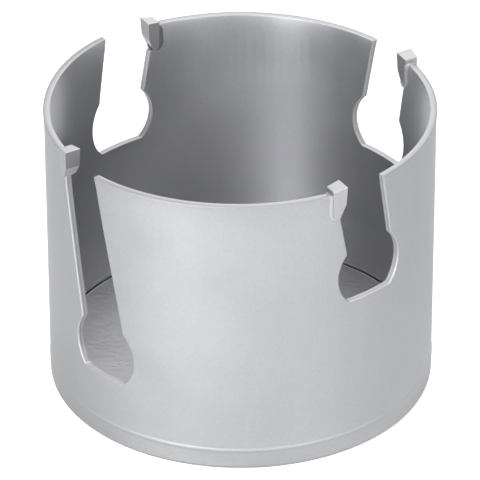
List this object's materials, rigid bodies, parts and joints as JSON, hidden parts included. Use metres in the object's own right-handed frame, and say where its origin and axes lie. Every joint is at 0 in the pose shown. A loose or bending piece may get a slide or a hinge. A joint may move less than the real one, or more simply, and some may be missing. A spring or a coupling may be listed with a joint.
{
  "type": "hole saw",
  "caption": "Open steel cup with leaning keyhole gullets and brazed carbide cutting tips, on a thick base plate threaded for an arbor.",
  "frame": {"origin": "middle of the base plate's underside, on the saw's axis", "axes": "+Z along the saw's axis towards the teeth; +X through the middle of the first shallow gullet; the deep gullet faces -Y"},
  "size_m": [0.0848, 0.0848, 0.067],
  "materials": {
    "grey_coat": "matt silver-grey coat over blasted steel",
    "carbide": "ground sintered carbide, dull grey",
    "braze": "silver braze, smooth and a little brighter than the coat"
  },
  "bodies": {
    "root": {"tube": "grey_coat", "base_plate": "grey_coat", "base_weld": "grey_coat", "tip_1": "carbide", "tip_2": "carbide", "tip_3": "carbide", "tip_4": "carbide", "braze_1": "braze", "braze_2": "braze", "braze_3": "braze", "braze_4": "braze"}
  },
  "joints": []
}
